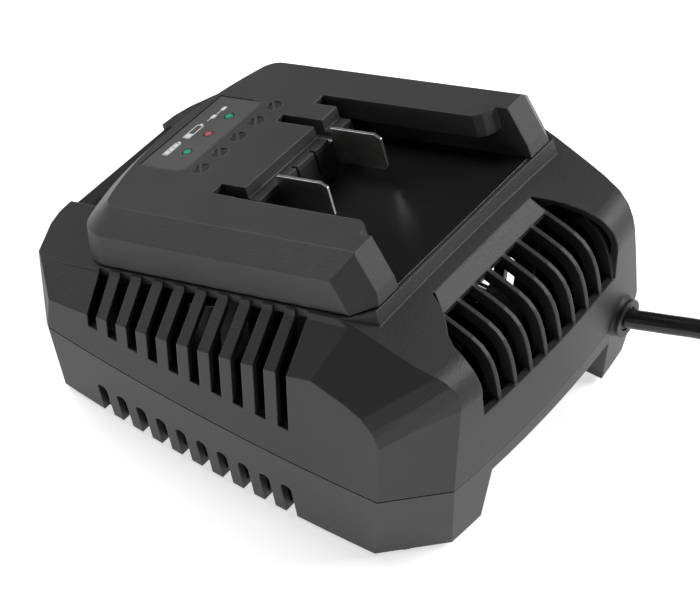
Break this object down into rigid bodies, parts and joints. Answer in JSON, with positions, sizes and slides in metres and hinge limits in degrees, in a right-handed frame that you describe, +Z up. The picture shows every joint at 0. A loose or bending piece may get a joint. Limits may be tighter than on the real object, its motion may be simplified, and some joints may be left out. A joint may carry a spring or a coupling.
{
  "type": "power tool battery charger",
  "caption": "Mains charger for slide-on tool batteries: sloping vented housing, tilted saddle with lipped rails and blade contacts, status lights and a coiled lead with a two-pin plug.",
  "frame": {"origin": "middle of the charger's box on the table, the lead left out", "axes": "+X towards the rear grille, the way a battery is pulled off; +Y towards the side with the lead; +Z up"},
  "size_m": [0.3217, 0.1434, 0.1019],
  "materials": {
    "housing": "fine moulded texture",
    "saddle": "fine moulded texture, smoother in the channel",
    "terminal_plastic": "smooth moulding",
    "nickel": "bright nickel plate",
    "brass": "stamped strip",
    "label_film": "printed film",
    "green_lens": "clear tinted rod",
    "red_lens": "clear tinted rod",
    "board": "solder mask",
    "ferrite": "pressed and fired",
    "winding_tape": "polyester tape",
    "aluminium": "extruded",
    "epoxy": "moulded package",
    "capacitor_sleeve": "shrink sleeve",
    "choke_wire": "enamelled wire",
    "fuse_glass": "glass tube with plated caps",
    "connector_nylon": "smooth moulding",
    "lead_brown": "insulated wire",
    "lead_red": "insulated wire",
    "lead_black": "insulated wire",
    "cord_jacket": "smooth extruded jacket",
    "tie_plastic": "smooth strap",
    "plug_plastic": "moulded on the lead",
    "foot_rubber": "moulded",
    "screw_steel": "zinc plated"
  },
  "bodies": {
    "root": {"lower_housing": "housing", "upper_housing": "housing", "battery_saddle": "saddle", "terminal_block": "terminal_plastic", "positive_blade": "nickel", "negative_blade": "nickel", "signal_contacts": "brass", "status_label": "label_film", "green_light_near": "green_lens", "red_light": "red_lens", "green_light_far": "green_lens", "light_board": "board", "circuit_board": "board", "transformer_core": "ferrite", "transformer_winding": "winding_tape", "heat_sink": "aluminium", "power_transistor": "epoxy", "input_capacitor": "capacitor_sleeve", "output_capacitors": "capacitor_sleeve", "filter_choke": "choke_wire", "fuse": "fuse_glass", "mains_connector": "connector_nylon", "mains_leads": "lead_brown", "positive_lead": "lead_red", "negative_lead": "lead_black", "cord_clamp": "terminal_plastic", "cord_sleeve": "cord_jacket", "mains_cord": "cord_jacket", "cord_coil": "cord_jacket", "cord_tie": "tie_plastic", "plug_body": "plug_plastic", "plug_pins": "nickel", "rubber_feet": "foot_rubber", "housing_screws": "screw_steel", "saddle_screws": "screw_steel", "board_screws": "screw_steel", "clamp_screws": "screw_steel"}
  },
  "joints": []
}
